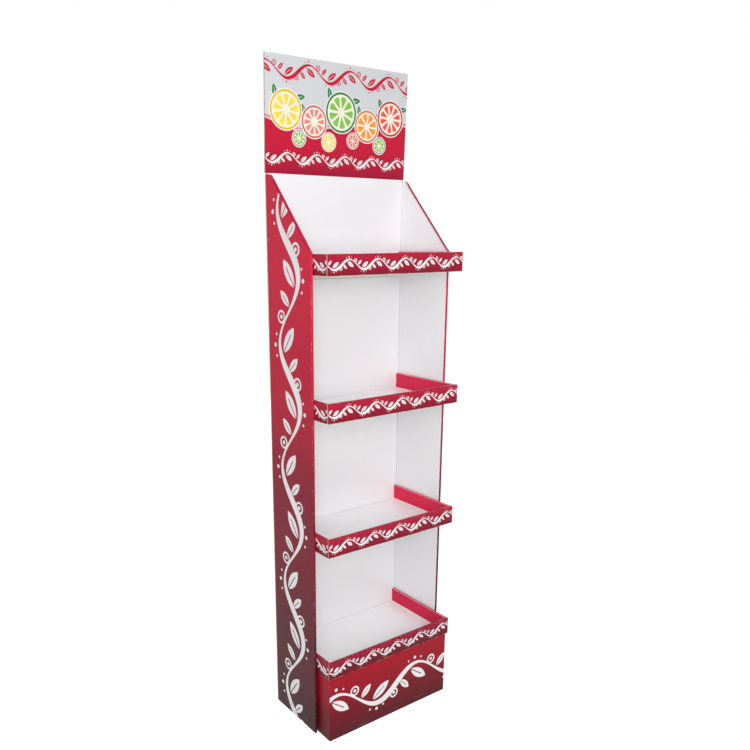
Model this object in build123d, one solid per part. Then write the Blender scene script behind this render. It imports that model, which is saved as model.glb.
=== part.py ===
"""Free-standing cardboard display stand: a folded body, a header card, four lipped trays and a base.

Frame: millimetres, X to the right, the open front faces -Y, Z up, origin on the floor below the middle.
"""
import math
import os

from build123d import *

# Corrugated board, the same for every sheet
board = 3.0
ply_gap = 0.4
fold_radius = 1.6

# Clearances between sheets
seat_gap = 0.3
slot_gap = 0.3
corner_gap = 0.5
tray_side_gap = 0.8

# Cutters run past the board by this much
overrun = 2.0

# Body
body_width = 400.0
body_depth = 175.0
back_height = 1319.0
shoulder_drop = 3.0
shoulder_flat = 12.0
shoulder_radius = 20.0
slope_flap_end_gap = 8.0

# Header card
header_height = 241.5
header_overhang = 1.0
header_lean = 2.0
header_corner_radius = 1.5
tongue_height = 70.0
tongue_chamfer = 14.0

# Trays
tray_count = 4
lowest_tray_level = 169.2
top_bay_height = 216.2
tray_projection = 50.0
lip_height = 44.0
lip_drop = 1.5
rear_flap_height = 21.0
side_tab_length = 38.0
side_tab_inset = 26.0
rear_tab_length = 42.0
rear_tab_spread = 190.0
tab_setback = 0.2
tab_crush = 0.4

# Base
base_inset = 3.6
base_flap_depth = 55.0
base_seam_depth = 32.0
support_width = 131.0

# Values that follow from the sizes above
double_wall = 2 * board + ply_gap
side_x = body_width / 2
lip_front_y = -(tray_projection + body_depth) / 2
wall_front_y = lip_front_y + tray_projection
wall_rear_y = wall_front_y + body_depth
back_rear_y = wall_rear_y - board - seat_gap
back_front_y = back_rear_y - board
inner_wall_x = side_x - double_wall
shoulder_height = back_height - shoulder_drop
top_tray_level = back_height - top_bay_height
tray_pitch = (top_tray_level - lowest_tray_level) / (tray_count - 1)
tray_levels = [lowest_tray_level + step * tray_pitch for step in range(tray_count)]
slope_foot_height = top_tray_level + lip_height
slope_top_y = back_front_y - shoulder_flat
tray_side_x = inner_wall_x - tray_side_gap
tray_rear_y = back_front_y - seat_gap
lip_back_y = lip_front_y + double_wall
floor_front_y = lip_front_y + board + ply_gap
floor_top = lip_drop + board
side_tab_front_y = wall_front_y + side_tab_inset
side_tab_rear_y = back_front_y - side_tab_inset - side_tab_length


def block(x_range, y_range, z_range):
    """A rectangular solid between pairs of limits."""
    size = [high - low for low, high in (x_range, y_range, z_range)]
    corner = (x_range[0], y_range[0], z_range[0])
    return Pos(*corner) * Box(*size, align=Align.MIN)


def upright(section, bottom, top):
    """Raises a plan section from one height to another."""
    return extrude(Plane.XY.offset(bottom) * section, top - bottom, dir=(0, 0, 1))


def across(section, left, right):
    """Runs a section drawn in Y and Z from one X to another."""
    return extrude(Plane.YZ.offset(left) * section, right - left, dir=(1, 0, 0))


def lengthwise(section, front, rear):
    """Runs a section drawn in X and Z from one Y to another."""
    return extrude(Plane.XZ.offset(-front) * section, rear - front, dir=(0, 1, 0))


def both_sides(solid):
    """The solid with its mirror image on the other side of the stand."""
    return [solid, mirror(solid, about=Plane.YZ)]


def folded_section(face_line, side):
    """Section of a creased board. Its face follows face_line and the board lies to the left for side 1."""
    face = [Vector(*point) for point in face_line]
    runs = [(end - start).normalized() for start, end in zip(face, face[1:])]
    normals = [Vector(-run.Y, run.X) * side for run in runs]
    reverse = [face[0] + normals[0] * board]
    for corner, before, after in zip(face[1:-1], normals, normals[1:]):
        reverse.append(corner + (before + after) * (board / (1 + before.dot(after))))
    reverse.append(face[-1] + normals[-1] * board)
    outline = Polygon(*face, *reversed(reverse))
    outer_corners = []
    for index, (before, after) in enumerate(zip(runs, runs[1:]), start=1):
        turns_to_board = before.cross(after).Z * side > 0
        outer_corners.append(face[index] if turns_to_board else reverse[index])
    creases = [outline.vertices().sort_by_distance(corner)[0] for corner in outer_corners]
    return fillet(creases, fold_radius)


def shoulder_outline():
    """Side view of what stands over the sloped shoulder and is cut away."""
    slope_share = (shoulder_height - slope_foot_height) / (slope_top_y - wall_front_y)
    front = wall_front_y - overrun
    rear = wall_rear_y + overrun
    over = back_height + overrun
    foot = (front, slope_foot_height - overrun * slope_share)
    crest = (slope_top_y, shoulder_height)
    outline = Polygon(foot, crest, (rear, shoulder_height), (rear, over), (front, over))
    crest_vertex = outline.vertices().sort_by_distance(Vector(*crest))[0]
    return fillet([crest_vertex], shoulder_radius)


def along_slope(section):
    """Runs a section up the left shoulder's slope. Its X is the stand's, and its Y points into the wall."""
    rise = Vector(0, slope_top_y - wall_front_y, shoulder_height - slope_foot_height)
    start = Vector(-side_x, wall_front_y, slope_foot_height) + rise.normalized() * slope_flap_end_gap
    length = rise.length - slope_flap_end_gap - shoulder_radius
    frame = Plane(origin=start, x_dir=(1, 0, 0), z_dir=rise)
    return extrude(frame * section, length, dir=rise)


def slope_flap():
    """Narrow flap that turns in from the outer ply along the left slope and covers the inner ply."""
    return along_slope(folded_section([(0, double_wall), (0, 0), (double_wall, 0)], 1))


def slope_flap_room():
    """Cutter that lowers both plies of the left wall under the flap."""
    depth = overrun + board + ply_gap
    over_outer = Pos(-overrun, -overrun) * Rectangle(overrun + board + ply_gap / 2, depth, align=Align.MIN)
    over_inner = Pos(0, -overrun) * Rectangle(double_wall + overrun, depth, align=Align.MIN)
    return along_slope(over_outer + over_inner)


def tab_slots():
    """Cutters for the slots that hold the tabs of every tray, in the inner plies and the back."""
    cutters = []
    for level in tray_levels:
        heights = (level - slot_gap, level + board + slot_gap)
        for front in (side_tab_front_y, side_tab_rear_y):
            depth = (front - slot_gap, front + side_tab_length + slot_gap)
            wall = (-inner_wall_x - board - ply_gap / 2, -inner_wall_x + overrun)
            cutters += both_sides(block(wall, depth, heights))
        half = rear_tab_length / 2 + slot_gap
        middle = rear_tab_spread / 2
        rear_heights = (heights[0] + lip_drop, heights[1] + lip_drop)
        through = (back_front_y - overrun, back_rear_y + overrun)
        cutters += both_sides(block((middle - half, middle + half), through, rear_heights))
    return cutters


def body_wrap():
    """One sheet: outer side, spine, inner side, back, and the same again on the right."""
    left = [
        (-side_x, wall_rear_y),
        (-side_x, wall_front_y),
        (-inner_wall_x, wall_front_y),
        (-inner_wall_x, back_front_y),
    ]
    plan = left + [(-x, y) for x, y in reversed(left)]
    sheet = upright(folded_section(plan, 1), 0, back_height)
    between_plies = -side_x + board + ply_gap / 2
    over_outer = across(shoulder_outline(), -side_x - overrun, between_plies)
    in_front_of_back = block((-side_x, side_x), (lip_front_y, back_front_y), (0, back_height + overrun))
    over_inner = across(shoulder_outline(), between_plies, -inner_wall_x + overrun) & in_front_of_back
    sheet -= both_sides(over_outer) + both_sides(over_inner)
    sheet -= both_sides(slope_flap_room())
    sheet += both_sides(slope_flap())
    return sheet - tab_slots()


def header_card():
    """Flat card, creased where it leaves the body, with a tongue glued behind the back."""
    face_y = back_rear_y + seat_gap
    crease = back_height + seat_gap
    lean = math.radians(header_lean)
    top = (face_y - header_height * math.sin(lean), crease + header_height * math.cos(lean))
    section = folded_section([(face_y, crease - tongue_height), (face_y, crease), top], -1)
    half_width = side_x + header_overhang
    card = across(section, -half_width, half_width)
    tongue_x = side_x - board - seat_gap
    depth = (face_y - overrun, face_y + board + overrun)
    below = (crease - tongue_height - overrun, crease)
    card -= both_sides(block((tongue_x, half_width + overrun), depth, below))
    through_card = Axis((0, 0, 0), (0, math.cos(lean), math.sin(lean)))
    upper_corners = card.edges().filter_by(through_card).group_by(Axis.Z)[-1]
    card = fillet(upper_corners, header_corner_radius)
    lower_corners = card.edges().filter_by(Axis.Y).group_by(Axis.Z)[0]
    return chamfer(lower_corners, tongue_chamfer)


def tray_side():
    """Left lip of a tray: inner ply up from the floor, spine over, outer ply down to a raw edge."""
    lip_inner_x = -tray_side_x + double_wall
    face = [
        (-tray_side_x, 0),
        (-tray_side_x, lip_height),
        (lip_inner_x, lip_height),
        (lip_inner_x, floor_top),
        (lip_inner_x + corner_gap, floor_top),
    ]
    lip = lengthwise(folded_section(face, -1), floor_front_y, tray_rear_y)
    under_front_spine = block(
        (-tray_side_x - overrun, lip_inner_x + overrun),
        (lip_front_y, lip_back_y + corner_gap),
        (lip_height - board - corner_gap, lip_height + overrun),
    )
    lip -= under_front_spine
    tab_reach = tray_side_gap + board - tab_setback
    for front in (side_tab_front_y, side_tab_rear_y):
        span = (front, front + side_tab_length)
        lip += block((-tray_side_x - tab_reach, -tray_side_x + board), span, (0, board))
    return lip


def tray_middle():
    """Front lip, floor and rear flap as one run of board from front to back."""
    face = [
        (lip_front_y, 0),
        (lip_front_y, lip_height),
        (lip_back_y, lip_height),
        (lip_back_y, floor_top),
        (tray_rear_y, floor_top),
        (tray_rear_y, floor_top - rear_flap_height),
    ]
    section = folded_section(face, -1)
    floor_x = tray_side_x - double_wall - corner_gap
    middle = across(section, -floor_x, floor_x)
    front_lip = across(section, -tray_side_x, tray_side_x)
    full_width = (-tray_side_x, tray_side_x)
    spine_only = block(full_width, (lip_front_y, lip_back_y), (lip_height - board, lip_height))
    outer_only = block(full_width, (lip_front_y, lip_front_y + board), (0, lip_height))
    return middle + (front_lip & (spine_only + outer_only))


def rear_tabs():
    """Crushed tabs of the floor that pass through the back, and the rooms they leave in the rear flap."""
    reach = seat_gap + board - tab_setback
    middle = rear_tab_spread / 2
    half = rear_tab_length / 2
    tab_heights = (lip_drop, floor_top - tab_crush)
    tab_depth = (tray_rear_y - board - fold_radius, tray_rear_y + reach)
    room_depth = (tray_rear_y - board, tray_rear_y + overrun)
    room_heights = (lip_drop - reach, floor_top + overrun)
    tab = block((middle - half, middle + half), tab_depth, tab_heights)
    room = block((middle - half - slot_gap, middle + half + slot_gap), room_depth, room_heights)
    return both_sides(tab), both_sides(room)


def tray(level):
    """A whole tray, with the raw lower edge of its lips at the given height."""
    tabs, rooms = rear_tabs()
    sheet = tray_middle() - rooms
    sheet += both_sides(tray_side())
    sheet += tabs
    return Pos(0, 0, level) * sheet


def base_box():
    """Sleeve under the lowest tray, seamed at its left rear corner, with two flaps turned in on top."""
    half = tray_side_x - base_inset
    front = lip_front_y + base_inset
    rear = tray_rear_y - board - seat_gap
    top = tray_levels[0] + lip_drop - seat_gap
    seam_x = -half + board + ply_gap
    plan = [
        (-half, rear),
        (-half, front),
        (half, front),
        (half, rear),
        (seam_x, rear),
        (seam_x, rear - base_seam_depth),
    ]
    sleeve = upright(folded_section(plan, 1), 0, top - board - ply_gap)
    flap_half = half - board - corner_gap
    leg = top - double_wall
    front_face = [(front, leg), (front, top), (front + base_flap_depth, top)]
    rear_face = [(rear, leg), (rear, top), (rear - base_flap_depth, top)]
    flap_left = seam_x + board + corner_gap
    sleeve += across(folded_section(front_face, -1), -flap_half, flap_half)
    sleeve += across(folded_section(rear_face, 1), flap_left, flap_half)
    return sleeve


def base_support():
    """Creased insert that stands in the sleeve and carries its two top flaps."""
    half = support_width / 2
    front = lip_front_y + base_inset + board + seat_gap
    rear = tray_rear_y - board - seat_gap - board - seat_gap
    top = tray_levels[0] + lip_drop - seat_gap - board - seat_gap
    plan = [(-half, rear), (-half, front), (half, front), (half, rear)]
    return upright(folded_section(plan, 1), 0, top)


pieces = {
    "body_wrap": body_wrap(),
    "header_card": header_card(),
    "base_box": base_box(),
    "base_support": base_support(),
}
for number, level in enumerate(tray_levels, start=1):
    pieces[f"tray_{number}"] = tray(level)

os.makedirs("parts", exist_ok=True)
for name, solid in pieces.items():
    export_step(solid, f"parts/{name}.step")
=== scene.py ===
import math

import bpy
from mathutils import Matrix, Vector

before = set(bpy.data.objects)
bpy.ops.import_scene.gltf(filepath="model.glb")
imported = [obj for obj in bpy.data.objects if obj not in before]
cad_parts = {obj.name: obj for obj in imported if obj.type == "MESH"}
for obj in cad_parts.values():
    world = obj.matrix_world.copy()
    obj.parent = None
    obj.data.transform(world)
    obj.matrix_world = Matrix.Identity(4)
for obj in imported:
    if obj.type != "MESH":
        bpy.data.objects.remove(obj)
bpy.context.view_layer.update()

# Sizes and places of the board in millimetres, as the CAD source gives them
board = 3.0
double_wall = 6.4
fold_radius = 1.6
side_x = 200.0
inner_wall_x = 193.6
wall_front_y = -62.5
wall_rear_y = 112.5
back_front_y = 106.2
back_rear_y = 109.2
slope_foot = Vector((0, wall_front_y, 1146.8))
slope_crest = Vector((0, 94.2, 1316.0))
slope_flap_end_gap = 8.0
shoulder_radius = 20.0
header_top_y = 102.57
lip_front_y = -112.5
lip_back_y = -106.1
tray_side_x = 192.8
lip_inner_x = 186.4
tray_rear_y = 105.9
lip_height = 44.0
floor_top = 4.5
rear_flap_height = 21.0
tray_count = 4
lowest_tray_level = 169.2
tray_pitch = 311.2
base_side_x = 189.2
base_front_y = -108.9
base_top = 170.4
mm_per_metre = 1000.0

# Values that follow from them
shoulder_slope = slope_crest - slope_foot
slope_up = shoulder_slope.normalized()
slope_outward = Vector((0, -slope_up.z, slope_up.y))
slope_flap_end = shoulder_slope.length - shoulder_radius
wall_middle_y = (wall_front_y + wall_rear_y) / 2

# The board's section: the medium's wave and half its thickness, and where the liners begin from the middle
flute_pitch = 6.4
flute_swing = 1.05
half_medium = 0.20
liner_start = 1.22

# What the print leaves bare at the walls' rear and above the shelves, and the distances from the middle
# of the stand where the print of the side lips' inner faces ends and that of their outer faces begins
rear_print_margin = 3.0
floor_print_margin = 1.6
inner_print_end = 189.0
outer_print_start = 190.0

# The heights between which the lips' colours change from the lowest tray's to the higher trays'. The lowest
# tray's darker colours are painted shade
outer_lip_shade_heights = (180.0, 640.0)
inner_lip_shade_heights = (180.0, 500.0)

# The borders' waves, how high they stand on a lip, the base and the header, and how they are shifted
side_wave = 292.0
lip_wave = 77.1
lip_border_height = 22.3
lip_border_shift = 1.5
base_wave = 252.0
base_border_z = 84.0
base_border_shift = -22.7
header_wave = 114.9
header_border_z = 1531.0
header_foot_wave = 80.4
header_foot_border_z = 1353.0
header_foot_border_shift = 1.6

# Small marks: a pinhole in the left side, as Y and Z, and a spot on the lowest shelf, as X and Y, with two
# heights between the lowest shelf and the next
pinhole_place = (103.0, 1177.0)
pinhole_radius = 1.2
spot_place = (63.8, 90.2)
spot_size = (2.2, 1.3)
above_lowest_shelf = (200.0, 210.0)

# How strongly each kind of surface reflects
print_gloss = 0.13
cut_gloss = 0.15
plain_gloss = 0.2
coated_gloss = 0.5

# For telling faces apart: lengths this near are the same, print on a face reaches this far into the board,
# and a face whose normal has so much of an axis looks straight along it, mostly along it, or slightly
slack = 0.1
skin = 0.5
straight = 0.9
mostly = 0.5
slightly = 0.05


def ink(red, green, blue):
    """A colour given as a screen shows it, from 0 to 255, in the form that shaders take."""
    shown = [value / 255 for value in (red, green, blue)]
    linear = [v / 12.92 if v <= 0.04045 else ((v + 0.055) / 1.055) ** 2.4 for v in shown]
    return (*linear, 1.0)


# Inks and boards
crimson = ink(194, 27, 58)
claret = ink(129, 26, 45)
maroon = ink(88, 24, 36)
foot_ink = ink(64, 26, 30)
# Painted light: the side lips' inner faces get a paler ink than their outer faces of the same print, darker
# on the lowest tray as painted shade
lit_inner_lip = ink(216, 42, 80)
lit_inner_lip_shaded_lowest = ink(204, 38, 74)
white_ink = ink(235, 232, 234)
pale_grey = ink(205, 207, 210)
wall_white = ink(235, 235, 237)
# Painted light: the shelves' white is paler than the walls' white of the same board, making up for light
# the shelves lack
shelf_white_painted_light = ink(248, 248, 250)
liner_white = ink(231, 228, 222)
cut_cream = ink(205, 186, 160)
flute_tan = ink(158, 126, 92)
# Dark brown of the insert's flecks, also painted shade in the open flutes of cut edges
dark_fleck_and_flute_shade = ink(120, 92, 68)
kraft = ink(176, 141, 102)
crease_pale = ink(244, 200, 206)
leaf_green = ink(46, 128, 72)
fruit_pith = ink(238, 232, 214)
# Colour of dust and scuffs, also used as painted shade in the back's corners and along the trays' rear
# flaps
dust_and_shade = ink(120, 112, 108)

# The rind and the flesh of each fruit
lemon = (ink(222, 184, 30), ink(240, 212, 74))
grapefruit = (ink(206, 80, 70), ink(232, 128, 124))
lime = (ink(44, 132, 60), ink(124, 188, 80))
orange = (ink(216, 106, 24), ink(236, 150, 58))
blood_orange = (ink(194, 30, 44), ink(230, 84, 76))

# The cut fruits on the header: middle as X and Z, radius, turn, number of wedges, rind and flesh
large_fruits = (
    ((-147.0, 1452.0), 41.0, 0.2, 9, *lemon),
    ((-71.0, 1433.0), 34.0, 0.9, 10, *grapefruit),
    ((4.0, 1458.0), 43.0, 0.4, 9, *lime),
    ((80.0, 1434.0), 35.0, 0.1, 8, *orange),
    ((151.0, 1456.0), 39.0, 0.7, 10, *blood_orange),
)
small_fruits = (
    ((-112.0, 1396.0), 17.0, 0.5, 8, *lime),
    ((-30.0, 1393.0), 19.0, 0.3, 9, *lemon),
    ((39.0, 1400.0), 16.0, 0.8, 8, *blood_orange),
    ((119.0, 1394.0), 18.0, 0.0, 8, *lime),
)


class Flow:
    """A number that varies over a surface and takes part in ordinary arithmetic."""

    def __init__(self, paint, socket):
        self.paint = paint
        self.socket = socket

    def __add__(self, other):
        return self.paint.count("ADD", self, other)

    def __sub__(self, other):
        return self.paint.count("SUBTRACT", self, other)

    def __rsub__(self, other):
        return self.paint.count("SUBTRACT", other, self)

    def __mul__(self, other):
        return self.paint.count("MULTIPLY", self, other)

    def __truediv__(self, other):
        return self.paint.count("DIVIDE", self, other)

    def __neg__(self):
        return self.paint.count("MULTIPLY", self, -1.0)

    def __abs__(self):
        return self.paint.count("ABSOLUTE", self)


class Paint:
    """The nodes of one material. Lengths inside it are millimetres in the stand's own frame."""

    def __init__(self, name):
        self.material = bpy.data.materials.new(name)
        self.material.use_nodes = True
        self.tree = self.material.node_tree
        self.tree.nodes.clear()
        coordinates = self.node("ShaderNodeTexCoord").outputs["Object"]
        scaled = self.node("ShaderNodeVectorMath", operation="SCALE")
        self.join(coordinates, scaled.inputs[0])
        scaled.inputs["Scale"].default_value = mm_per_metre
        self.place = scaled.outputs[0]
        parts = self.node("ShaderNodeSeparateXYZ")
        self.join(self.place, parts.inputs[0])
        self.x, self.y, self.z = (Flow(self, parts.outputs[axis]) for axis in "XYZ")

    def node(self, kind, **settings):
        """A new node with these settings."""
        made = self.tree.nodes.new(kind)
        for name, value in settings.items():
            setattr(made, name, value)
        return made

    def join(self, value, socket):
        """Links a flow or an output to an input, or sets the input to a constant."""
        if isinstance(value, Flow):
            value = value.socket
        if isinstance(value, bpy.types.NodeSocket):
            self.tree.links.new(value, socket)
        elif socket.type == "VECTOR":
            socket.default_value = value[:3]
        else:
            socket.default_value = value

    def count(self, operation, *values):
        """One step of arithmetic."""
        made = self.node("ShaderNodeMath", operation=operation)
        for socket, value in zip(made.inputs, values):
            self.join(value, socket)
        return Flow(self, made.outputs[0])

    def smallest(self, first, *others):
        """The smallest of these numbers."""
        for other in others:
            first = self.count("MINIMUM", first, other)
        return first

    def largest(self, first, *others):
        """The largest of these numbers."""
        for other in others:
            first = self.count("MAXIMUM", first, other)
        return first

    def sine(self, turn):
        """The sine of an angle in radians."""
        return self.count("SINE", turn)

    def cosine(self, turn):
        """The cosine of an angle in radians."""
        return self.count("COSINE", turn)

    def hypotenuse(self, first, second):
        """The long side of a right triangle with these two sides."""
        return self.count("SQRT", first * first + second * second)

    def repeat(self, value, period):
        """The value's distance from the nearest multiple of the period, with its sign."""
        return self.count("FLOORED_MODULO", value + period / 2, period) - period / 2

    def rise(self, value, low, high):
        """0 below low, 1 above high, and a smooth climb between them."""
        made = self.node("ShaderNodeMapRange", interpolation_type="SMOOTHSTEP")
        for name, given in (("Value", value), ("From Min", low), ("From Max", high)):
            self.join(given, made.inputs[name])
        return Flow(self, made.outputs[0])

    def inside(self, depth, blur=0.25):
        """1 where the depth inside a drawn form is positive, with an edge as soft as print."""
        return self.rise(depth, -blur, blur)

    def noise(self, size, detail=3.0, roughness=0.5, shift=0.0):
        """Cloudy noise around 0.5 whose features have this size, the same all ways or one each for X, Y
        and Z. Noises with different shifts are independent."""
        sizes = size if isinstance(size, tuple) else (size, size, size)
        scaled = self.node("ShaderNodeVectorMath", operation="MULTIPLY_ADD")
        self.join(self.place, scaled.inputs[0])
        scaled.inputs[1].default_value = [1 / s for s in sizes]
        scaled.inputs[2].default_value = [shift] * 3
        made = self.node("ShaderNodeTexNoise")
        self.join(scaled.outputs[0], made.inputs["Vector"])
        made.inputs["Scale"].default_value = 1.0
        made.inputs["Detail"].default_value = detail
        made.inputs["Roughness"].default_value = roughness
        return Flow(self, made.outputs[0])

    def mottle(self, strength, size, **kind):
        """Noise of this strength around 0."""
        return (self.noise(size, **kind) - 0.5) * strength

    def blend(self, amount, under, over):
        """The colour over laid on the colour under, as far as the amount says."""
        made = self.node("ShaderNodeMix", data_type="RGBA")
        self.join(amount, made.inputs[0])
        self.join(under, made.inputs[6])
        self.join(over, made.inputs[7])
        return made.outputs[2]

    def shade(self, amount, colour):
        """The colour multiplied by the amount."""
        made = self.node("ShaderNodeVectorMath", operation="SCALE")
        self.join(colour, made.inputs[0])
        self.join(amount, made.inputs["Scale"])
        return made.outputs[0]

    def gradient(self, value, *stops):
        """Colours between given values. Each stop is a value and a colour, the lowest value first."""
        low, high = stops[0][0], stops[-1][0]
        made = self.node("ShaderNodeValToRGB")
        self.join((value - low) / (high - low), made.inputs[0])
        ramp = made.color_ramp
        ramp.interpolation = "EASE"
        while len(ramp.elements) < len(stops):
            ramp.elements.new(0.5)
        for element, (where, colour) in zip(ramp.elements, stops):
            element.position = (where - low) / (high - low)
            element.color = colour
        return made.outputs[0]

    def finish(self, colour, roughness, gloss, height=None):
        """The surface itself. Its height is in millimetres."""
        surface = self.node("ShaderNodeBsdfPrincipled")
        self.join(colour, surface.inputs["Base Color"])
        self.join(roughness, surface.inputs["Roughness"])
        surface.inputs["Specular IOR Level"].default_value = gloss
        if height is not None:
            bump = self.node("ShaderNodeBump")
            bump.inputs["Distance"].default_value = 1 / mm_per_metre
            self.join(height, bump.inputs["Height"])
            self.join(bump.outputs[0], surface.inputs["Normal"])
        output = self.node("ShaderNodeOutputMaterial")
        self.join(surface.outputs[0], output.inputs["Surface"])
        return self.material


def flutes(paint, along):
    """The corrugation that shows faintly through the liner, as a wave between -1 and 1."""
    return paint.sine(along * (math.tau / flute_pitch))


def board_relief(paint, along, flute_depth=0.012):
    """Height of a board's face: faint flutes, the liner's fibres and the slow unevenness of a sheet."""
    fibre = paint.mottle(0.02, (0.9, 0.9, 1.6), detail=4.0, roughness=0.65)
    sheet = paint.mottle(0.5, (70.0, 70.0, 110.0), detail=1.0, shift=3.0)
    return flutes(paint, along) * flute_depth + fibre + sheet


def ink_unevenness(paint, along):
    """How much lighter or darker the print is from place to place, around 1."""
    washboard = flutes(paint, along) * 0.012
    patches = paint.mottle(0.10, 5.0, detail=4.0, roughness=0.6)
    cloud = paint.mottle(0.07, (90.0, 90.0, 160.0), detail=2.0, shift=7.0)
    return washboard + patches + cloud + 1.0


def uneven_print(paint, along, colour):
    """The colour as ink on board: uneven, and with pale pinholes."""
    grain = paint.noise(1.4, detail=2.0, roughness=0.7, shift=11.0)
    pinholes = paint.rise(grain, 0.725, 0.765)
    return paint.blend(pinholes * 0.35, paint.shade(ink_unevenness(paint, along), colour), crease_pale)


def crease_wear(paint, share, *distances):
    """How far the ink has cracked off along rounded creases, from the distances to their sharp corners. The
    share tells how much of a crease is worn."""
    nearest = paint.smallest(*distances)
    patchy = paint.noise((5.0, 5.0, 9.0), detail=6.0, roughness=0.75, shift=5.0)
    close = 1.0 - paint.rise(nearest, 0.75, 1.35)
    return close * paint.rise(patchy, 0.62 - share * 0.3, 0.74 - share * 0.3)


def foot_scuffs(paint, colour, least, fade, strength):
    """Dusty scuffs on the colour where noise passes the least value. They fade out between two heights."""
    scuff = paint.rise(paint.noise((60.0, 60.0, 7.0), detail=5.0, roughness=0.7), least, least + 0.12)
    foot = 1.0 - paint.rise(paint.z, *fade)
    return paint.blend(scuff * foot * strength, colour, dust_and_shade)


def finish_print(paint, along, colour, least=0.34, spread=0.16):
    """Printed board as a surface, with its least roughness and how much more there may be."""
    roughness = paint.noise(18.0) * spread + least
    return paint.finish(colour, roughness, print_gloss, board_relief(paint, along))


def from_wave(paint, along, across, swing, length):
    """Distance from a sine wave of this swing and length."""
    turn = along * (math.tau / length)
    steepness = paint.cosine(turn) * (swing * math.tau / length)
    away = abs(across - paint.sine(turn) * swing)
    return away / paint.count("SQRT", steepness * steepness + 1.0)


def leaf(paint, u, v, middle, tilt, length, width, rib):
    """Depth inside a pointed leaf that a rib divides from its foot to beyond its middle."""
    rib_end = length * 0.22
    across = u - middle[0]
    up = v - middle[1]
    lengthwise = across * math.cos(tilt) + up * math.sin(tilt)
    sideways = abs(up * math.cos(tilt) - across * math.sin(tilt))
    bow = (length**2 + width**2) / (4 * width)
    body = bow - paint.hypotenuse(lengthwise, sideways + (bow - width / 2))
    return paint.smallest(body, paint.largest(sideways - rib, lengthwise - rib_end))


def ring(paint, u, v, middle, radius, line):
    """Depth inside the line of a ring."""
    return line / 2 - abs(paint.hypotenuse(u - middle[0], v - middle[1]) - radius)


def dot(paint, u, v, middle, radius):
    """Depth inside a round dot."""
    return radius - paint.hypotenuse(u - middle[0], v - middle[1])


def vine(paint, along, across, length):
    """A leafy border: a nib-drawn wave of this length, with leaves, rings and dots in turn on either side.
    Its numbers are shares of the length. Returns the depth inside it."""
    place = along / length
    offset = across / length
    nib = paint.cosine(place * math.tau + 0.45) * 0.5 + 0.5
    stem = nib * 0.026 + 0.010 - from_wave(paint, place, offset, 0.135, 1.0)
    cell_start = 0.01
    cell = paint.count("FLOORED_MODULO", place - cell_start, 1.0)
    side = 1.0 - paint.count("FLOOR", cell * 2.0) * 2.0
    u = paint.count("FLOORED_MODULO", cell, 0.5) + cell_start
    v = offset * side
    parts = [
        leaf(paint, u, v, (0.285, 0.008), -0.62, 0.25, 0.098, 0.0050),
        leaf(paint, u, v, (0.098, -0.052), -0.80, 0.165, 0.070, 0.0038),
        ring(paint, u, v, (0.458, 0.105), 0.044, 0.017),
        dot(paint, u, v, (0.458, 0.105), 0.017),
        dot(paint, u, v, (0.235, 0.199), 0.017),
        dot(paint, u, v, (0.150, 0.180), 0.011),
        dot(paint, u, v, (0.320, 0.180), 0.011),
    ]
    return paint.largest(stem, *parts) * length


def side_print(outer_ply):
    """Print of the body's outer plies with their large border, or else of the narrow spines in front."""
    paint = Paint("crimson side print" if outer_ply else "crimson spine print")
    along = paint.y if outer_ply else paint.x
    colour = paint.gradient(
        paint.z,
        (20.0, foot_ink),
        (190.0, maroon),
        (560.0, claret),
        (880.0, ink(185, 30, 57)),
        (1120.0, ink(203, 36, 66)),
    )
    if outer_ply:
        border = vine(paint, paint.z, paint.y - wall_middle_y, side_wave)
        colour = paint.blend(paint.inside(border, 0.3), colour, white_ink)
        bare_rear = paint.inside(paint.y - (wall_rear_y - rear_print_margin), 0.4)
        colour = paint.blend(bare_rear, colour, cut_cream)
    colour = uneven_print(paint, along, colour)
    outer_corner = paint.hypotenuse(abs(paint.x) - side_x, paint.y - wall_front_y)
    inner_corner = paint.hypotenuse(abs(paint.x) - inner_wall_x, paint.y - wall_front_y)
    worn = crease_wear(paint, 0.3, outer_corner, inner_corner) * 0.45
    colour = paint.blend(worn, colour, crease_pale)
    if outer_ply:
        y, z = pinhole_place
        from_pinhole = paint.hypotenuse(paint.hypotenuse(paint.y - y, paint.z - z), paint.x + side_x)
        colour = paint.blend(paint.inside(pinhole_radius - from_pinhole), colour, crease_pale)
    colour = foot_scuffs(paint, colour, 0.60, (4.0, 60.0), 0.45)
    return finish_print(paint, along, colour)


def slope_print(name, colour, rubbing, inked_depth=None):
    """The shoulders' narrow flaps and cut ends, whose ink handling has rubbed towards another colour. Below
    the inked depth, where one is given, the board is white."""
    paint = Paint(name)
    rubbed = paint.rise(paint.noise(8.0, detail=4.0, roughness=0.7), 0.45, 0.75)
    shown = paint.blend(rubbed * 0.25, colour, rubbing)
    if inked_depth is not None:
        depth = (paint.y - slope_foot.y) * slope_up.z - (paint.z - slope_foot.z) * slope_up.y
        shown = paint.blend(paint.inside(depth - inked_depth), shown, wall_white)
    return paint.finish(paint.shade(ink_unevenness(paint, paint.x), shown), 0.5, print_gloss)


def lip_end():
    """Raw ends of the front lips: inked liners with torn medium between them, with painted light and shade
    by tray.
    """
    paint = Paint("cut ends of front lips")
    depth = paint.y - lip_front_y
    torn = paint.noise((0.7, 0.7, 6.0), detail=4.0, roughness=0.7)
    # Painted light and shade: the torn medium is paler on the higher trays and darker on the lower ones
    height = paint.rise(paint.z, 100.0, 1250.0)
    dark = paint.blend(height, ink(178, 114, 104), ink(238, 186, 176))
    pale = paint.blend(height, ink(212, 172, 162), ink(253, 236, 230))
    core = paint.blend(paint.rise(torn, 0.42, 0.58), dark, pale)
    front_liner = 0.8
    rear_liner = 0.7
    inked = paint.largest(paint.inside(front_liner - depth), paint.inside(depth - (board - rear_liner)))
    colour = paint.blend(inked, core, ink(170, 36, 60))
    return paint.finish(colour, 0.8, cut_gloss, torn * 0.15)


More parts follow.
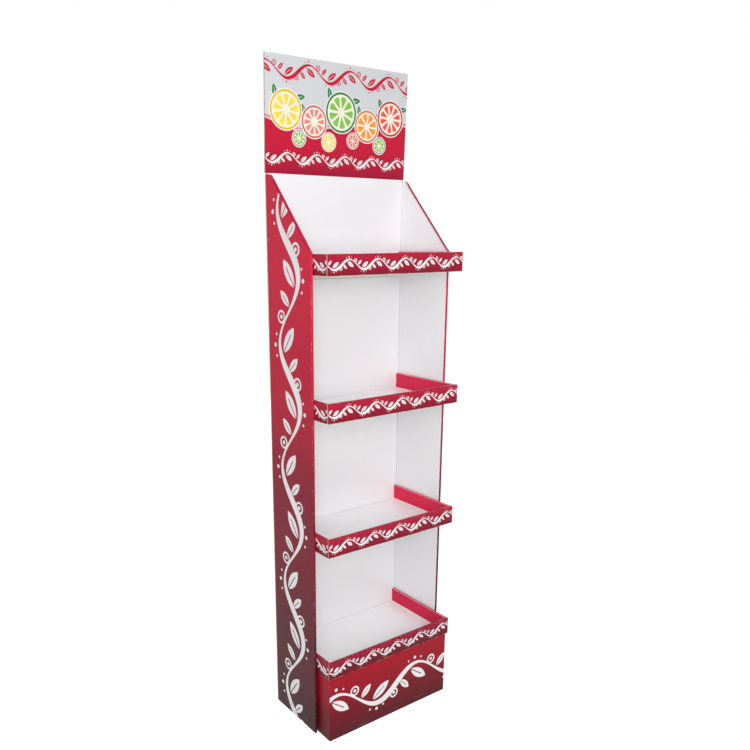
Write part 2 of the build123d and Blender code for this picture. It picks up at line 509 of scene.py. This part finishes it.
def white_face(name, white, spotted=False):
    """Coated white face of the board: the inner walls and the back, or the shelves, which have a spot."""
    paint = Paint(name)
    along = paint.x if spotted else paint.x + paint.y
    cloud = paint.mottle(0.018, 120.0, detail=2.0)
    fibre = paint.mottle(0.02, 1.6, detail=4.0, roughness=0.7, shift=2.0)
    colour = paint.shade(flutes(paint, along) * 0.004 + cloud + fibre + 1.0, white)
    scratches = paint.noise((14.0, 3.0, 14.0), detail=6.0, roughness=0.75, shift=9.0)
    colour = paint.blend(paint.rise(scratches, 0.68, 0.74) * 0.10, colour, dust_and_shade)
    # Painted shade: a thin grey line darkens the corners between the back and the side walls
    corner = paint.hypotenuse(abs(paint.x) - inner_wall_x, paint.y - back_front_y)
    colour = paint.blend((1.0 - paint.rise(corner, 0.4, 1.5)) * 0.30, colour, dust_and_shade)
    if spotted:
        across = (paint.x - spot_place[0]) / spot_size[0]
        up = (paint.y - spot_place[1]) / spot_size[1]
        ragged = paint.noise(1.2, detail=4.0, roughness=0.7) * 1.6 + 0.4
        spot = 1.0 - paint.rise(paint.hypotenuse(across, up), 0.5, ragged)
        lowest_shelf = 1.0 - paint.rise(paint.z, *above_lowest_shelf)
        colour = paint.blend(spot * lowest_shelf * 0.75, colour, dust_and_shade)
    roughness = paint.noise(25.0) * 0.14 + 0.26
    return paint.finish(colour, roughness, coated_gloss, board_relief(paint, along, 0.010))


def tray_print(front):
    """Print of the lips, on the front lip with the border along X and on the side lips along Y."""
    paint = Paint("crimson lip print, front" if front else "crimson lip print, sides")
    along = paint.x if front else paint.z
    below = 1.0
    height = paint.count("FLOORED_MODULO", paint.z - lowest_tray_level + below, tray_pitch) - below
    upper = paint.gradient(
        height, (2.0, ink(130, 18, 41)), (14.0, ink(145, 19, 44)), (40.0, ink(168, 27, 53))
    )
    # Painted shade: the lowest tray's lips are darker than the higher trays' of the same print
    lower = paint.gradient(
        height, (2.0, ink(104, 12, 32)), (16.0, ink(114, 14, 38)), (42.0, ink(148, 22, 52))
    )
    colour = paint.blend(paint.rise(paint.z, *outer_lip_shade_heights), lower, upper)
    if front:
        across, outer_face, inner_face = paint.y, lip_front_y, lip_back_y
        outside = paint.inside(lip_back_y - board - across)
        run = paint.x + lip_border_shift
    else:
        across, outer_face, inner_face = abs(paint.x), tray_side_x, lip_inner_x
        outside = paint.inside(across - outer_print_start)
        run = paint.y
        # Painted light: a paler ink on the inner faces, darker on the lowest tray as painted shade
        lit_inner_colour = paint.blend(paint.rise(paint.z, *inner_lip_shade_heights), lit_inner_lip_shaded_lowest, lit_inner_lip)
        colour = paint.blend(paint.inside(inner_print_end - across), colour, lit_inner_colour)
    border = vine(paint, run, height - lip_border_height, lip_wave)
    colour = paint.blend(paint.inside(border) * outside, colour, white_ink)
    colour = uneven_print(paint, along, colour)
    outer_edge = paint.hypotenuse(height - lip_height, across - outer_face)
    inner_edge = paint.hypotenuse(height - lip_height, across - inner_face)
    outer_wear = crease_wear(paint, 0.35, outer_edge) * 0.5
    inner_wear = crease_wear(paint, 0.8, inner_edge) * 0.8
    colour = paint.blend(paint.largest(outer_wear, inner_wear), colour, crease_pale)
    # Chipped print along the lips' lower cut edge, whose pale line is also a painted highlight of that edge
    chipped = paint.rise(paint.noise((9.0, 9.0, 3.0), shift=6.0), 0.45, 0.6)
    chipped_and_glinting_edge = (1.0 - paint.rise(height, 0.4, 1.3)) * chipped
    colour = paint.blend(chipped_and_glinting_edge * outside * 0.6, colour, cut_cream)
    bare = paint.inside(floor_top + floor_print_margin - height) * (1.0 - outside)
    colour = paint.blend(bare, colour, liner_white)
    return finish_print(paint, along, colour, least=0.32)


def base_print():
    """Print of the base, with the border larger than on the lips."""
    paint = Paint("maroon base print")
    along = paint.x + paint.y
    colour = paint.gradient(
        paint.z,
        (4.0, ink(88, 16, 28)),
        (60.0, ink(112, 14, 28)),
        (120.0, ink(148, 14, 34)),
        (165.0, ink(161, 15, 36)),
    )
    on_front = paint.inside(base_front_y + skin - paint.y)
    border = vine(paint, paint.x + base_border_shift, paint.z - base_border_z, base_wave)
    colour = paint.blend(paint.inside(border, 0.3) * on_front, colour, white_ink)
    colour = uneven_print(paint, along, colour)
    corner = paint.hypotenuse(abs(paint.x) - base_side_x, paint.y - base_front_y)
    colour = paint.blend(crease_wear(paint, 0.3, corner) * 0.5, colour, crease_pale)
    colour = foot_scuffs(paint, colour, 0.58, (3.0, 40.0), 0.5)
    return finish_print(paint, along, colour)


def citrus(paint, colour, middle, radius, tilt, wedges, rind, flesh):
    """Lays a cut fruit on the colour: white outline, rind, pith, and wedges with rounded corners."""
    outline = 2.2
    across = paint.x - middle[0]
    up = paint.z - middle[1]
    reach = paint.hypotenuse(across, up)
    turn = paint.count("ARCTAN2", up, across) + tilt
    from_skin = abs(paint.repeat(turn, math.tau / wedges)) * reach - radius * 0.045
    wall = paint.count("SMOOTH_MIN", from_skin, radius * 0.80 - reach, radius * 0.16)
    wedge = paint.count("SMOOTH_MIN", wall, reach - radius * 0.10, radius * 0.10)
    juice = paint.noise((radius * 0.10, 40.0, radius * 0.22), roughness=0.6, shift=radius)
    lit = paint.shade(paint.rise(reach, 0.0, radius) * 0.22 + juice * 0.36 + 0.70, flesh)
    colour = paint.blend(paint.inside(radius + outline - reach), colour, white_ink)
    colour = paint.blend(paint.inside(radius - reach), colour, rind)
    colour = paint.blend(paint.inside(radius * 0.89 - reach), colour, fruit_pith)
    return paint.blend(paint.inside(wedge - radius * 0.02), colour, lit)


def sprigs(paint, colour, middle, radius, tilt):
    """Lays two green leaves with white outlines on the colour, above a fruit."""
    outline = 1.2
    rib = 0.5
    for lean in (2.2 + tilt * 0.3, 0.7 - tilt * 0.2):
        x = middle[0] + math.cos(lean) * radius * 1.12
        z = middle[1] + math.sin(lean) * radius * 1.12
        depth = leaf(paint, paint.x, paint.z, (x, z), lean - 0.5, radius * 0.72, radius * 0.30, rib)
        colour = paint.blend(paint.inside(depth + outline), colour, white_ink)
        colour = paint.blend(paint.inside(depth), colour, leaf_green)
    return colour


def header_print():
    """Print of the header: a grey field with cut fruits, over a crimson field with a wavy upper edge."""
    paint = Paint("header print")
    field = paint.gradient(
        paint.z, (1322.0, ink(160, 22, 56)), (1345.0, ink(174, 24, 52)), (1385.0, crimson)
    )
    left_x, left_z = -197.7, 1431.6
    fall = 0.27
    falling = left_z - (paint.x - left_x) * fall
    wave_x, wave_z = -99.0, 1411.0
    quarter_wave = 299.0
    wave_height = 30.5
    climbing = paint.sine((paint.x - wave_x) * (math.pi / 2 / quarter_wave)) * wave_height + wave_z
    rounding = 9.0
    edge = paint.count("SMOOTH_MAX", falling, climbing, rounding)
    grey = paint.shade(paint.rise(paint.z, 1420.0, 1560.0) * -0.03 + 1.0, pale_grey)
    colour = paint.blend(paint.inside(edge - paint.z), grey, field)
    above_edge = 5.5
    half_line = 2.2
    line = paint.inside(half_line - abs(paint.z - edge - above_edge))
    colour = paint.blend(line, colour, ink(226, 120, 140))
    garland = vine(paint, paint.x, paint.z - header_border_z, header_wave)
    colour = paint.blend(paint.inside(garland), colour, crimson)
    for middle, radius, tilt, *_ in large_fruits:
        colour = sprigs(paint, colour, middle, radius, tilt)
    for fruit in (*large_fruits, *small_fruits):
        colour = citrus(paint, colour, *fruit)
    run = paint.x + header_foot_border_shift
    row = vine(paint, run, paint.z - header_foot_border_z, header_foot_wave)
    colour = paint.blend(paint.inside(row), colour, white_ink)
    colour = paint.shade(ink_unevenness(paint, paint.x), colour)
    return finish_print(paint, paint.x, colour, spread=0.14)


def reverse_face():
    """Uncoated white reverse of the board, with a painted shade line along the lower edges of the trays'
    rear flaps.
    """
    paint = Paint("uncoated reverse")
    along = paint.x + paint.y
    fibre = paint.mottle(0.07, (1.4, 1.4, 3.5), detail=5.0, roughness=0.7)
    cloud = paint.mottle(0.03, 60.0, detail=2.0)
    colour = paint.shade(fibre + cloud + flutes(paint, along) * 0.012 + 1.0, liner_white)
    fleck = paint.rise(paint.noise(1.1, roughness=0.8, shift=4.0), 0.70, 0.76)
    colour = paint.blend(fleck * 0.35, colour, flute_tan)
    # Painted shade: a grey line along each rear flap's lower edge
    flap_edge = lowest_tray_level + floor_top - rear_flap_height
    from_edge = abs(paint.repeat(paint.z - flap_edge, tray_pitch))
    on_flap = paint.inside(skin - abs(paint.y - (tray_rear_y - board)))
    colour = paint.blend((1.0 - paint.rise(from_edge, 0.5, 1.3)) * on_flap * 0.6, colour, dust_and_shade)
    roughness = paint.noise(8.0) * 0.2 + 0.62
    return paint.finish(colour, roughness, plain_gloss, board_relief(paint, along, 0.03))


def kraft_face():
    """Plain brown board of the hidden insert."""
    paint = Paint("brown board")
    along = paint.x + paint.y
    fibre = paint.mottle(0.16, (1.4, 1.4, 4.0), detail=5.0, roughness=0.7)
    cloud = paint.mottle(0.08, 50.0, detail=2.0)
    colour = paint.shade(fibre + cloud + flutes(paint, along) * 0.02 + 1.0, kraft)
    fleck = paint.rise(paint.noise(1.3, roughness=0.8, shift=4.0), 0.66, 0.74)
    colour = paint.blend(fleck * 0.4, colour, dark_fleck_and_flute_shade)
    roughness = paint.noise(8.0) * 0.2 + 0.68
    return paint.finish(colour, roughness, plain_gloss, board_relief(paint, along, 0.035))


def cut_edge(name, along, depth):
    """Cut edge of the board: two liners with the fluted medium between them. The two functions give the
    position along the edge and the distance from the board's middle."""
    paint = Paint(name)
    off = depth(paint)
    away = from_wave(paint, along(paint), off, flute_swing, flute_pitch)
    ragged = paint.mottle(0.18, 0.6, roughness=0.7)
    medium = paint.inside(half_medium - away + ragged, 0.1)
    liner = paint.inside(abs(off) - liner_start + ragged, 0.1)
    # Painted shade: the open flutes between the medium and the liners are painted dark
    colour = paint.blend(medium, dark_fleck_and_flute_shade, flute_tan)
    colour = paint.blend(liner, colour, cut_cream)
    tone = paint.mottle(0.3, 2.5, detail=4.0, roughness=0.7) + 1.0
    height = paint.largest(medium, liner) * 0.5
    return paint.finish(paint.shade(tone, colour), 0.85, cut_gloss, height)


def plain_cut():
    """Cut edge that runs along the flutes, where liners, glue and torn medium show as uneven stripes."""
    paint = Paint("cut board along the flutes")
    torn = paint.noise((1.2, 1.2, 26.0), detail=4.0, roughness=0.65)
    colour = paint.blend(paint.rise(torn, 0.40, 0.62), flute_tan, cut_cream)
    tone = paint.mottle(0.25, 2.5, detail=4.0, roughness=0.7) + 1.0
    return paint.finish(paint.shade(tone, colour), 0.85, cut_gloss, torn * 0.15)


def from_body_plies(paint):
    """Distance from the middle of the body's nearest ply, as a negative number."""
    outer = abs(abs(paint.x) - (side_x - board / 2))
    inner = abs(abs(paint.x) - (inner_wall_x + board / 2))
    back = abs(paint.y - (back_front_y + board / 2))
    return -paint.smallest(outer, inner, back)


paints = {
    "side print": side_print(True),
    "spine print": side_print(False),
    "white wall": white_face("white coated wall", wall_white),
    # The shelves' paler white is painted light
    "floor": white_face("white coated shelf", shelf_white_painted_light, spotted=True),
    "front print": tray_print(True),
    "side lip print": tray_print(False),
    "base print": base_print(),
    "header print": header_print(),
    "reverse": reverse_face(),
    "brown": kraft_face(),
    "plain cut": plain_cut(),
    "front cut": cut_edge(
        "cut edge of front lips", lambda paint: paint.x, lambda paint: paint.y - (lip_front_y + board / 2)
    ),
    "header cut": cut_edge(
        "cut edge of header", lambda paint: paint.x, lambda paint: paint.y - header_top_y
    ),
    "upright cut": cut_edge("cut edge across the body", lambda paint: paint.x + paint.y, from_body_plies),
    "lip end": lip_end(),
    "slope print": slope_print("crimson shoulder print", ink(184, 20, 62), foot_ink),
    "slope edge": slope_print(
        "inked edge of the shoulder flap", ink(146, 8, 62), foot_ink, inked_depth=1.4
    ),
    "crest cut": slope_print("cut board at the shoulder's ends", ink(156, 34, 58), cut_cream),
}


def near(first, second):
    """Whether two lengths are the same."""
    return abs(first - second) < slack


def body_face(centre, normal):
    """Which paint a face of the folded body has."""
    side = abs(centre.x)
    on_wall = side > inner_wall_x - slack
    inward = normal.x * centre.x < 0
    offset = Vector((0, centre.y, centre.z)) - slope_foot
    climb = offset.dot(slope_up)
    depth = -offset.dot(slope_outward)
    on_flap = slope_flap_end_gap + slack < climb < slope_flap_end - slack and depth < board + slack
    if on_flap and on_wall:
        if near(side, inner_wall_x) and abs(normal.x) > straight and inward:
            return "slope edge"
        in_crease = side > side_x - fold_radius - slack and depth < fold_radius + slack
        if normal.dot(slope_outward) > mostly or in_crease:
            return "slope print"
    if abs(normal.z) > mostly:
        return "crest cut" if centre.z > slope_foot.z and on_wall else "upright cut"
    before_shoulder = 10.0
    past_flap = 5.0
    near_shoulder = -before_shoulder < climb < slope_flap_end + past_flap
    along_shoulder = near_shoulder and depth < double_wall + slack
    if along_shoulder and abs(normal.x) < mostly and abs(normal.z) > slightly:
        return "crest cut"
    if near(side, side_x) and abs(normal.x) > straight:
        return "side print"
    if centre.y < wall_front_y + fold_radius + slack:
        return "spine print"
    if near(side, inner_wall_x) and inward:
        return "white wall"
    if near(centre.y, back_front_y) and normal.y < -straight:
        return "white wall"
    if near(centre.y, wall_rear_y):
        return "plain cut"
    if near(centre.y, back_rear_y) or near(side, side_x - board) or near(side, inner_wall_x + board):
        return "reverse"
    if inner_wall_x < side < inner_wall_x + board and centre.y > back_front_y:
        return "reverse"
    return "plain cut"


def tray_face(centre, normal):
    """Which paint a face of a tray has. Its height counts from the tray's lower edge."""
    side = abs(centre.x)
    height = centre.z
    on_front = centre.y < lip_back_y + slack
    if near(height, 0) and normal.z < -straight:
        return "front cut" if centre.y < lip_front_y + board + slack else "plain cut"
    at_floor_top = floor_top - skin < height < floor_top + slack
    if at_floor_top and normal.z > straight and side < lip_inner_x + slack:
        return "floor"
    if near(height, floor_top - board) and normal.z < -straight:
        return "reverse"
    if near(centre.y, tray_rear_y) and normal.y > straight:
        return "floor"
    if near(centre.y, tray_rear_y - board):
        return "reverse"
    if near(side, tray_side_x) and abs(normal.x) > straight:
        return "side lip print" if centre.y > lip_front_y + board + 2 * slack else "lip end"
    if near(side, lip_inner_x) and normal.x * centre.x < 0 and height > floor_top - slack:
        return "side lip print"
    on_lip_face = near(centre.y, lip_front_y) or near(centre.y, lip_back_y)
    if on_front and on_lip_face and side < tray_side_x - slack:
        return "front print"
    if height > lip_height - fold_radius - slack and normal.z > slightly:
        return "front print" if on_front else "side lip print"
    if near(centre.y, lip_front_y + board) or near(side, tray_side_x - board):
        return "reverse"
    return "plain cut"


def header_face(centre, normal):
    """Which paint a face of the header card has."""
    if normal.z > straight:
        return "header cut"
    if normal.y < -mostly:
        return "header print"
    return "reverse" if normal.y > mostly else "plain cut"


def base_face(centre, normal):
    """Which paint a face of the base has."""
    side = abs(centre.x)
    upright = abs(normal.z) < mostly
    if near(centre.z, 0):
        return "plain cut"
    if near(side, base_side_x) or near(centre.y, base_front_y):
        return "base print"
    if normal.z > straight and centre.z > base_top - 4 * slack:
        return "base print"
    crease = fold_radius + slack
    if upright and side > base_side_x - crease and centre.y < base_front_y + crease:
        return "base print"
    return "reverse" if upright or centre.z > base_top - double_wall - slack else "plain cut"


def support_face(centre, normal):
    """Which paint a face of the hidden insert has."""
    return "plain cut" if abs(normal.z) > straight else "brown"


def dress(node, choose, level=0.0):
    """Gives each face of a CAD node the paint that choose names for it. Heights count from the level."""
    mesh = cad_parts[node].data
    floor = Vector((0, 0, level))
    words = [choose(face.center * mm_per_metre - floor, face.normal) for face in mesh.polygons]
    order = sorted(set(words))
    mesh.materials.clear()
    for word in order:
        mesh.materials.append(paints[word])
    for face, word in zip(mesh.polygons, words):
        face.material_index = order.index(word)


dress("body_wrap", body_face)
dress("header_card", header_face)
dress("base_box", base_face)
dress("base_support", support_face)
for number in range(tray_count):
    dress(f"tray_{number + 1}", tray_face, lowest_tray_level + number * tray_pitch)


def grey(level):
    """An even grey, where 1 is white."""
    return (level, level, level, 1.0)


def shader(tree, kind, level, strength=None):
    """A new shader node of an even grey, and of a strength where it has one."""
    made = tree.nodes.new(kind)
    made.inputs["Color"].default_value = grey(level)
    if strength is not None:
        made.inputs["Strength"].default_value = strength
    return made


def end_in_both(tree, given, shown, output_kind):
    """Ends a node tree in two shaders: the light given to other surfaces, and what rays from the camera
    and reflections see."""
    path = tree.nodes.new("ShaderNodeLightPath")
    seen = path.outputs["Is Camera Ray"]
    for name in ("Is Glossy Ray", "Is Transmission Ray"):
        either = tree.nodes.new("ShaderNodeMath")
        either.operation = "MAXIMUM"
        tree.links.new(seen, either.inputs[0])
        tree.links.new(path.outputs[name], either.inputs[1])
        seen = either.outputs[0]
    mix = tree.nodes.new("ShaderNodeMixShader")
    for source, socket in zip((seen, given.outputs[0], shown.outputs[0]), mix.inputs):
        tree.links.new(source, socket)
    output = tree.nodes.new(output_kind)
    tree.links.new(mix.outputs[0], output.inputs["Surface"])


def studio_world(ambient):
    """White to look at, and an even pale light from all round."""
    world = bpy.data.worlds.new("studio")
    world.use_nodes = True
    tree = world.node_tree
    tree.nodes.clear()
    light = shader(tree, "ShaderNodeBackground", 1.0, ambient)
    backdrop = shader(tree, "ShaderNodeBackground", 1.0, 1.0)
    end_in_both(tree, light, backdrop, "ShaderNodeOutputWorld")
    bpy.context.scene.world = world


def studio_floor(reach, drop):
    """A wide white floor just below the stand, which keeps a soft shadow of it."""
    mesh = bpy.data.meshes.new("studio_floor")
    corners = [(-reach, -reach, 0), (reach, -reach, 0), (reach, reach, 0), (-reach, reach, 0)]
    mesh.from_pydata(corners, [], [(0, 1, 2, 3)])
    floor = bpy.data.objects.new("studio_floor", mesh)
    floor.location.z = -drop
    bpy.context.scene.collection.objects.link(floor)
    material = bpy.data.materials.new("studio floor")
    material.use_nodes = True
    tree = material.node_tree
    tree.nodes.clear()
    given = shader(tree, "ShaderNodeBsdfDiffuse", 0.78)
    shaded = shader(tree, "ShaderNodeBsdfDiffuse", 0.40)
    glow = shader(tree, "ShaderNodeEmission", 1.0, 0.86)
    shown = tree.nodes.new("ShaderNodeAddShader")
    tree.links.new(shaded.outputs[0], shown.inputs[0])
    tree.links.new(glow.outputs[0], shown.inputs[1])
    end_in_both(tree, given, shown, "ShaderNodeOutputMaterial")
    mesh.materials.append(material)


def soft_lamp(name, place, target_height, size, power):
    """A large square lamp, turned to a height on the stand's axis."""
    lamp = bpy.data.lights.new(name, "AREA")
    lamp.shape = "SQUARE"
    lamp.size = size
    lamp.energy = power
    holder = bpy.data.objects.new(name, lamp)
    holder.location = place
    ahead = Vector((0, 0, target_height)) - Vector(place)
    holder.rotation_euler = ahead.to_track_quat("-Z", "Y").to_euler()
    bpy.context.scene.collection.objects.link(holder)


def photo_camera():
    """The camera of the photograph. The focal length and the lens's middle are in its pixels."""
    place = Vector((-1.08818, -1.36168, 1.16404))
    yaw = math.radians(-34.62)
    pitch = math.radians(-14.70)
    roll = math.radians(-0.52)
    focal = 736.85
    middle = (315.61, 438.72)
    photo_side = 750
    sensor = 36.0
    ahead = Vector((-math.sin(yaw) * math.cos(pitch), math.cos(yaw) * math.cos(pitch), math.sin(pitch)))
    right = Vector((math.cos(yaw), math.sin(yaw), 0))
    up = right.cross(ahead)
    turned_right = right * math.cos(roll) + up * math.sin(roll)
    turned_up = up * math.cos(roll) - right * math.sin(roll)
    data = bpy.data.cameras.new("camera")
    data.sensor_width = sensor
    data.lens = focal / photo_side * sensor
    data.shift_x = (photo_side / 2 - middle[0]) / photo_side
    data.shift_y = (middle[1] - photo_side / 2) / photo_side
    data.clip_end = 50.0
    camera = bpy.data.objects.new("camera", data)
    columns = Matrix((turned_right, turned_up, -ahead)).transposed()
    camera.matrix_world = Matrix.Translation(place) @ columns.to_4x4()
    bpy.context.scene.collection.objects.link(camera)
    bpy.context.scene.camera = camera


# Each lamp's place, the height that it is turned to, its size in metres and its power in watts
lamps = {
    "key": ((-1.2, -1.9, 1.23), 0.75, 0.9, 27.5),
    "top": ((-1.1, -2.8, 3.2), 0.7, 2.4, 28.0),
    "left": ((-2.4, -1.8, 2.6), 0.75, 1.6, 12.5),
    "right": ((3.8, 0.2, 1.4), 0.75, 2.4, 50.0),
    "rear": ((2.0, 3.4, 1.6), 0.75, 2.4, 70.0),
}

studio_world(ambient=0.40)
studio_floor(reach=8.0, drop=0.0006)
for lamp_name, settings in lamps.items():
    soft_lamp(lamp_name, *settings)
photo_camera()
bpy.context.scene.view_settings.view_transform = "Standard"
